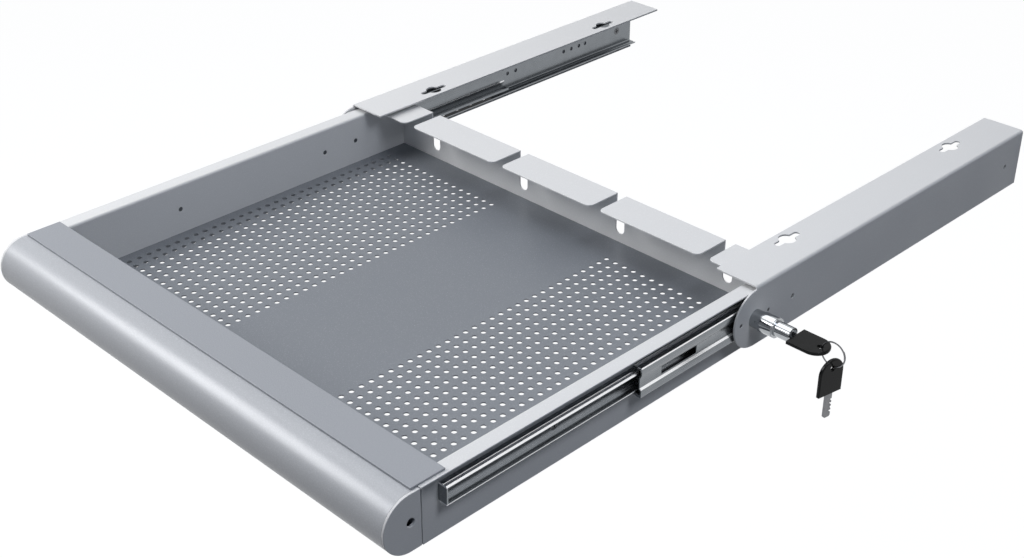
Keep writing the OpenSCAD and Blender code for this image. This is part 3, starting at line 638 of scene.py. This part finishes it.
section = add(nose_tree, "GeometryNodeJoinGeometry", {"Geometry": loops})
filled = add(nose_tree, "GeometryNodeFillCurve", {"Curve": section.outputs[0]})
bar = extruded(nose_tree, filled.outputs[0], size["Length"])
placed = add(nose_tree, "GeometryNodeTransform", {"Geometry": bar, "Translation": size["Place"],
                                                  "Rotation": (math.pi / 2, 0, math.pi / 2)})
end_tree(nose_tree, placed.outputs[0], SATIN)
low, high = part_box("nose_extrusion")
mesh = grown(nose_tree, {"Depth": high.y - low.y, "Radius": (high.z - low.z) / 2, "Edge radius": NOSE_EDGE,
                         "Wall": NOSE_WALL, "Length": high.x - low.x,
                         "Place": Vector((low.x, (low.y + high.y) / 2, (low.z + high.z) / 2))})
part("extruded_nose", mesh, SATIN, "nose_extrusion")
for side in ("left", "right"):
    plate = f"end_plate_{side}"
    part(f"flat_{plate}", merged(plate), SILVER, plate, PLATE_EDGE)


# The strip plate: a flat aluminium strip with rounded edges, which covers the tray's front rim behind
# the nose. It is bead blasted like the nose and anodised a darker grey.
STRIP_EDGE = 0.4 * MM
STRIP_GREY = anodised("grey_anodised_strip", "#94979d", "#a0a3a8", 0.45, 0.1)
part("rounded_strip_plate", merged("strip_plate"), STRIP_GREY, "strip_plate", STRIP_EDGE)


# The lock: a turned and chrome-plated brass sleeve, nutted to the bracket with a zinc plate and two
# screws, and in it a sprung push barrel with the bolt behind it and a core that the key turns.
TURNED_EDGE = 0.18 * MM
LOCK_CROSS = Vector((2.2, 0.5, 0.8)) * MM
LOCK_SHANK_RADIUS = 1.3 * MM
LOCK_HEAD_HEIGHT = 0.8 * MM
SPRING_TURNS = 2.4
SPRING_WIRE_RADIUS = 0.4 * MM
COIL_STEPS = 40
WIRE_SIDES = 12
CHROME = polished_metal("chrome_plate", "#a3a6a9", "#adb0b3", 0.1, 5 * MM)
BOLT_STEEL = polished_metal("ground_bolt_steel", "#a9abae", "#b6b8ba", 0.25, 2 * MM)
for piece in ("lock_sleeve", "lock_barrel", "lock_core"):
    part(f"turned_{piece}", merged(piece), CHROME, piece, TURNED_EDGE)
part("turned_lock_bolt", merged("lock_bolt"), BOLT_STEEL, "lock_bolt", TURNED_EDGE)
part("cut_lock_plate", merged("lock_plate"), SCREW_ZINC, "lock_plate", RUNNER_EDGE)
screws("lock_plate_screws", "lock_screws", (-1, 0, 0), LOCK_SHANK_RADIUS, LOCK_HEAD_HEIGHT,
       cross=LOCK_CROSS)
spring_tree, size = new_tree("wire_coil", {"Turns": "Float", "Radius": "Float", "Height": "Float",
                                           "Wire section": "Vector", "Place": "Vector", "Turned": "Vector"})
path = add(spring_tree, "GeometryNodeCurveSpiral", {
    "Resolution": COIL_STEPS, "Rotations": size["Turns"], "Start Radius": size["Radius"],
    "End Radius": size["Radius"], "Height": size["Height"]})
level = add(spring_tree, "GeometryNodeSetCurveNormal", {"Curve": path.outputs[0]}, mode="Z_UP")
unit = add(spring_tree, "GeometryNodeCurvePrimitiveCircle", {"Resolution": WIRE_SIDES, "Radius": 1.0})
wire = add(spring_tree, "GeometryNodeTransform", {"Geometry": unit.outputs[0],
                                                  "Scale": size["Wire section"]})
wound = add(spring_tree, "GeometryNodeCurveToMesh", {
    "Curve": level.outputs[0], "Profile Curve": wire.outputs[0], "Fill Caps": True})
placed = add(spring_tree, "GeometryNodeTransform", {
    "Geometry": wound.outputs[0], "Translation": size["Place"], "Rotation": size["Turned"]})
end_tree(spring_tree, placed.outputs[0], BOLT_STEEL)


def coil(name, node, axis, turns, across, along, material):
    """A coil that fills a round node's box, round one of the frame's axes. across and along that axis
    are half the wire's width and thickness."""
    low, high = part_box(node)
    middle, half = (low + high) / 2, (high - low) / 2
    height = 2 * (half[axis] - along)
    start = middle.copy()
    start[axis] -= height / 2
    turned = Vector((0, math.pi / 2, 0)) if axis == 0 else Vector((-math.pi / 2, 0, 0))
    mesh = grown(spring_tree, {"Turns": turns, "Radius": half[2] - across, "Height": height,
                               "Wire section": Vector((across, along, 1)), "Place": start, "Turned": turned})
    return part(name, mesh, material, node)


coil("coiled_lock_spring", "lock_spring", axis=0, turns=SPRING_TURNS, across=SPRING_WIRE_RADIUS,
     along=SPRING_WIRE_RADIUS, material=BOLT_STEEL)


# The keys: nickel-plated brass blades with milled cuts, moulded into heads of glossy black ABS with
# well rounded edges, and a split ring of two turns of flattened wire.
HEAD_EDGE = 1.0 * MM
# How much of that the eye's and the mouth's edges get, and the rooms in which edges count as theirs
EYE_SHARE = 0.35
MOUTH_SHARE = 0.2
MOUTH_ROOM = 0.1 * MM
BLADE_ROOM = 3.6 * MM
EYE_ROOM = 2.6 * MM
RIM_ROOM = 1.0 * MM
BLADE_EDGE = 0.15 * MM
RING_TURNS = 2.1
RING_WIDTH = 1.1 * MM
RING_THICKNESS = 0.38 * MM
NICKEL = polished_metal("nickel_plate", "#6f7073", "#7d7e80", 0.2, 3 * MM)
GLOSSY_ABS = moulded_plastic("glossy_black_abs", "#08090a", "#101112", 0.2, 0.01 * MM, sheen=0.12)


def rounder_outside(head, along):
    """A key head whose outline is rounded most, its eye less, its mouth round the blade hardly at all,
    and the slot in it not at all. along is the blade's axis, on which the head starts at its low end."""
    mesh = merged(head)
    low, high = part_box(head)
    thin = min(range(3), key=lambda axis: high[axis] - low[axis])
    across = 3 - along - thin
    middle, length = (low[across] + high[across]) / 2, high[along] - low[along]
    work = bmesh.new()
    work.from_mesh(mesh)
    share = work.edges.layers.float.new("bevel_weight_edge")
    for edge in work.edges:
        reach = max(vert.co[along] - low[along] for vert in edge.verts)
        aside = max(abs(vert.co[across] - middle) for vert in edge.verts)
        in_slot = aside < BLADE_ROOM and reach < length / 2
        if in_slot or edge.calc_face_angle(0) < SMOOTH:
            continue
        if reach < MOUTH_ROOM:
            edge[share] = MOUTH_SHARE
        elif aside < EYE_ROOM and reach < length - RIM_ROOM:
            edge[share] = EYE_SHARE
        else:
            edge[share] = 1.0
    work.to_mesh(mesh)
    work.free()
    return mesh


for blade in ("key_blade", "spare_key_blade"):
    part(f"milled_{blade}", merged(blade), NICKEL, blade, BLADE_EDGE)
for head, along in (("key_head", 0), ("spare_key_head", 2)):
    mesh = rounder_outside(head, along)
    rounded = part(f"moulded_{head}", mesh, GLOSSY_ABS, head, HEAD_EDGE)
    rounded.modifiers["rounded_edges"].limit_method = "WEIGHT"
coil("split_key_ring", "key_ring", axis=1, turns=RING_TURNS, across=RING_WIDTH / 2,
     along=RING_THICKNESS / 2, material=NICKEL)


low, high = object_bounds()
